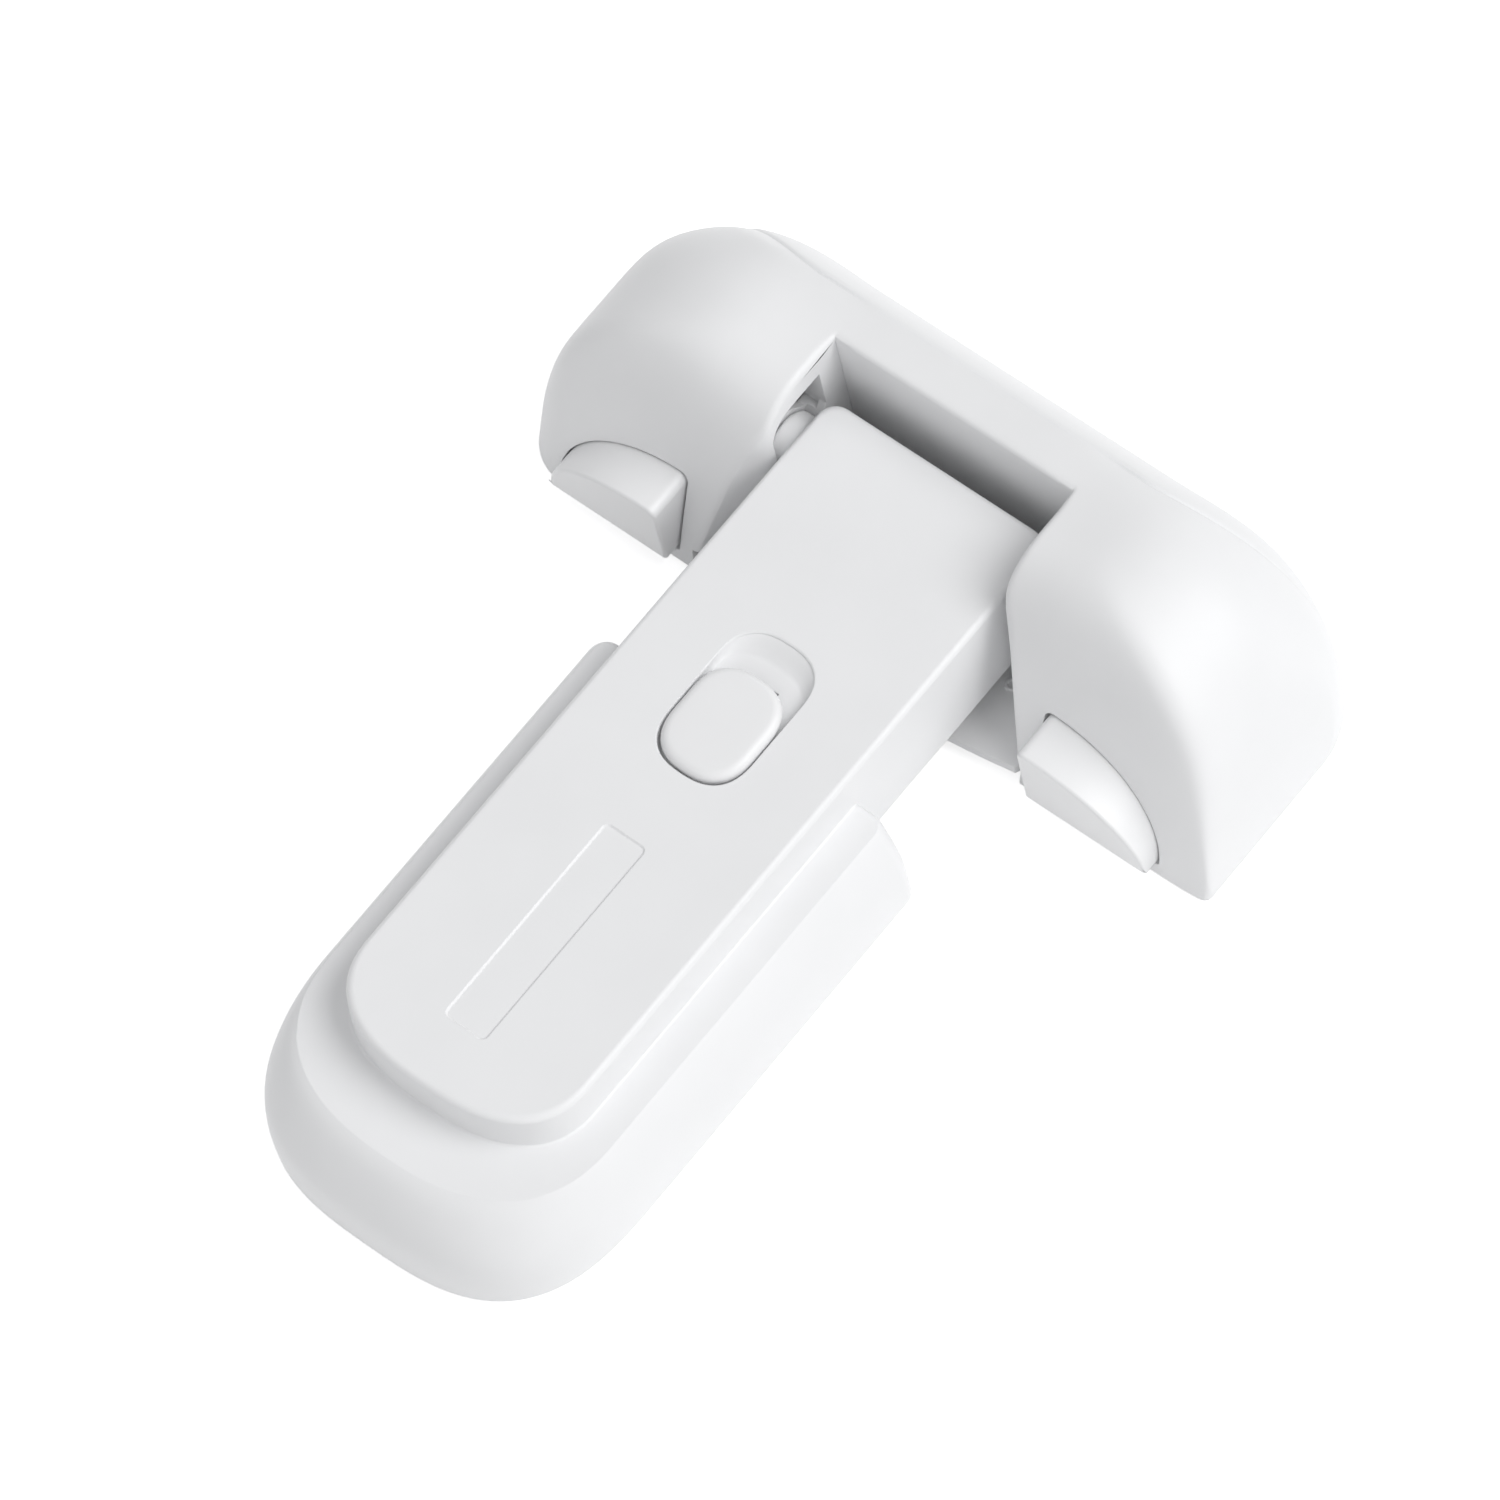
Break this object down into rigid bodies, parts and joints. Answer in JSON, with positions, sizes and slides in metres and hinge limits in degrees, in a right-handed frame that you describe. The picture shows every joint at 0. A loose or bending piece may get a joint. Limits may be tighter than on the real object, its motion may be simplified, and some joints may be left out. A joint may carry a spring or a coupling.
{
  "type": "fridge lock",
  "caption": "White T-shaped child-safety fridge lock: a stick-on base whose flat arm ends in a recess between a head's two domed wings, with side buttons and an arm slider.",
  "frame": {"origin": "middle of the lock's box in X and Y, on the doors' surface that the adhesive pads stick to", "axes": "+X along the arm from the base's tip to the head, +Z away from the doors, the XZ plane is the mirror plane of all but the head's front corners"},
  "size_m": [0.1334, 0.108, 0.0307],
  "materials": {
    "shell": "fine satin",
    "knob": "smooth satin",
    "inner": "matt",
    "steel": "plain",
    "foam": "matt foam tape"
  },
  "bodies": {
    "head": {"head_shell": "shell", "head_base_plate": "shell", "head_adhesive_pad": "foam", "latch_retainer_left": "inner", "latch_retainer_right": "inner", "retainer_screw_left_1": "steel", "retainer_screw_left_2": "steel", "retainer_screw_right_1": "steel", "retainer_screw_right_2": "steel", "button_spring_left": "steel", "button_spring_right": "steel"},
    "base_arm": {"base_arm_shell": "shell", "base_plate": "inner", "base_adhesive_pad": "foam", "arm_cover": "shell", "base_screw_left_1": "steel", "base_screw_left_2": "steel", "base_screw_right_1": "steel", "base_screw_right_2": "steel", "cover_screw": "steel", "detent_leaf": "steel"},
    "slider": {"slider_knob": "knob", "cam_plate": "inner", "knob_screw": "steel"},
    "pin_left": {"hinge_pin_left": "shell"},
    "pin_right": {"hinge_pin_right": "shell"},
    "button_left": {"button_cap_left": "knob", "latch_claw_left": "inner"},
    "button_right": {"button_cap_right": "knob", "latch_claw_right": "inner"}
  },
  "joints": [
    {"name": "arm_pivot", "type": "hinge", "parent": "head", "child": "base_arm", "pos_m": [0.04105, 0, 0.0164], "axis": [0, 1, 0], "range_deg": [0, 90]},
    {"name": "slider_slide", "type": "slide", "parent": "base_arm", "child": "slider", "axis": [1, 0, 0], "range_m": [0, 0.0054]},
    {"name": "pin_left_retract", "type": "slide", "parent": "base_arm", "child": "pin_left", "axis": [0, -1, 0], "range_m": [0, 0.00324]},
    {"name": "pin_right_retract", "type": "slide", "parent": "base_arm", "child": "pin_right", "axis": [0, 1, 0], "range_m": [0, 0.00324]},
    {"name": "button_left_press", "type": "slide", "parent": "head", "child": "button_left", "axis": [1, 0, 0], "range_m": [0, 0.0035], "stiffness_N_per_m": 600, "deforming": ["button_spring_left"]},
    {"name": "button_right_press", "type": "slide", "parent": "head", "child": "button_right", "axis": [1, 0, 0], "range_m": [0, 0.0035], "stiffness_N_per_m": 600, "deforming": ["button_spring_right"]}
  ],
  "couplings": [
    {"joint": "pin_left_retract", "follows": "slider_slide", "ratio": 0.6},
    {"joint": "pin_right_retract", "follows": "slider_slide", "ratio": 0.6}
  ]
}
